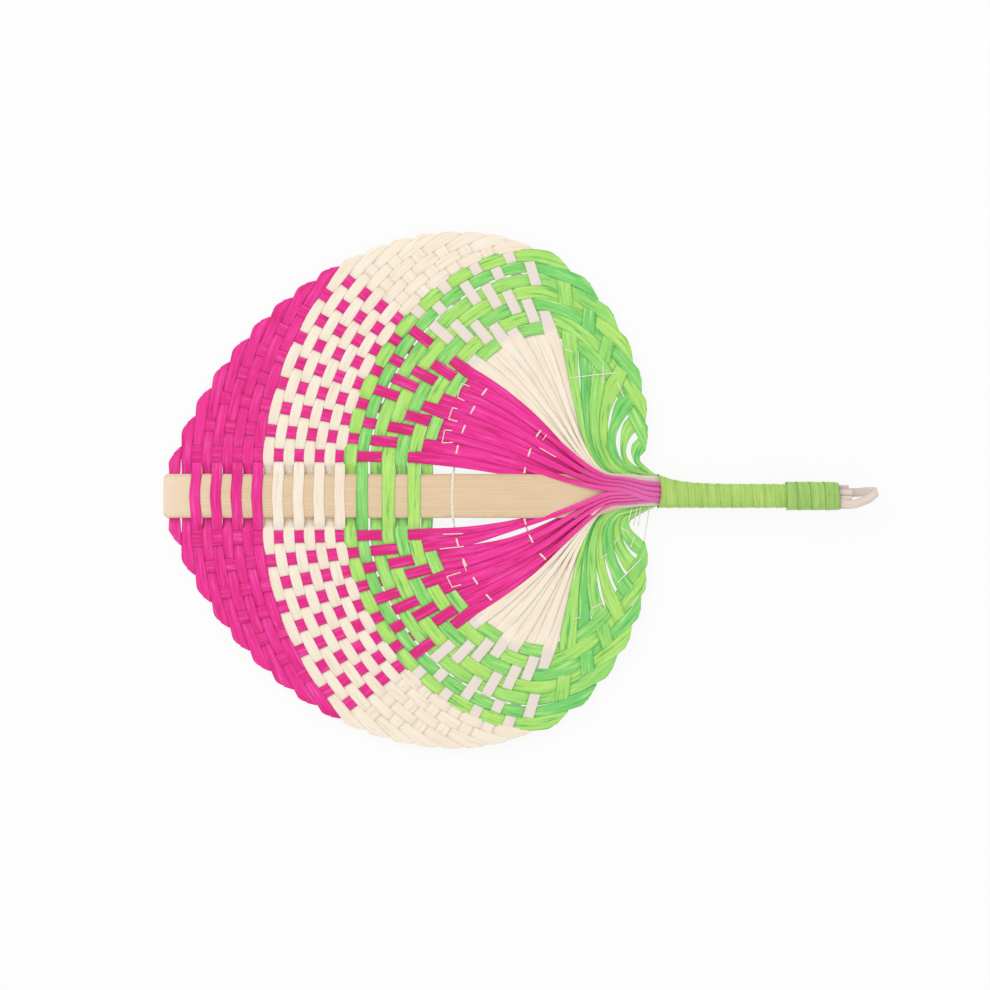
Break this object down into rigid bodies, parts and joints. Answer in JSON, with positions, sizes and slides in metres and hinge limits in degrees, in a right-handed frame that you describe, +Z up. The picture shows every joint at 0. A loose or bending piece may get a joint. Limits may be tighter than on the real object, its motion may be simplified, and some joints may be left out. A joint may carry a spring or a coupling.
{
  "type": "hand fan",
  "caption": "Rigid plaited hand fan: a heart-shaped leaf of coloured bamboo strips woven across a flat slat, with a wound handle and a hanging loop.",
  "frame": {"origin": "middle of the bounding box at its lowest plane, the surface that the fan lies on", "axes": "+X along the slat towards the handle and its loop, +Y across the leaf, +Z up, out of the leaf's front face"},
  "size_m": [0.3018, 0.22, 0.0126],
  "materials": {
    "bamboo": "satin",
    "magenta_strip": "satin",
    "cream_strip": "satin",
    "green_strip": "satin",
    "handle_wrap": "satin",
    "handle_end_wrap": "satin",
    "loop": "matte",
    "thread": "matte"
  },
  "bodies": {
    "root": {"bamboo_slat": "bamboo", "magenta_strip_1": "magenta_strip", "magenta_strip_2": "magenta_strip", "magenta_strip_3": "magenta_strip", "magenta_strip_4": "magenta_strip", "magenta_strip_5": "magenta_strip", "magenta_strip_6": "magenta_strip", "magenta_strip_7": "magenta_strip", "magenta_strip_8": "magenta_strip", "magenta_strip_9": "magenta_strip", "cream_strip_1": "cream_strip", "cream_strip_2": "cream_strip", "cream_strip_3": "cream_strip", "cream_strip_4": "cream_strip", "cream_strip_5": "cream_strip", "cream_strip_6": "cream_strip", "cream_strip_7": "cream_strip", "cream_strip_8": "cream_strip", "green_strip_1": "green_strip", "green_strip_2": "green_strip", "green_strip_3": "green_strip", "green_strip_4": "green_strip", "green_strip_5": "green_strip", "green_strip_6": "green_strip", "green_strip_7": "green_strip", "handle_wrap": "handle_wrap", "handle_end_wrap": "handle_end_wrap", "hanging_loop": "loop", "binding_thread_inner": "thread", "binding_thread_outer": "thread", "green_thread_upper": "thread", "green_thread_lower": "thread"}
  },
  "joints": []
}
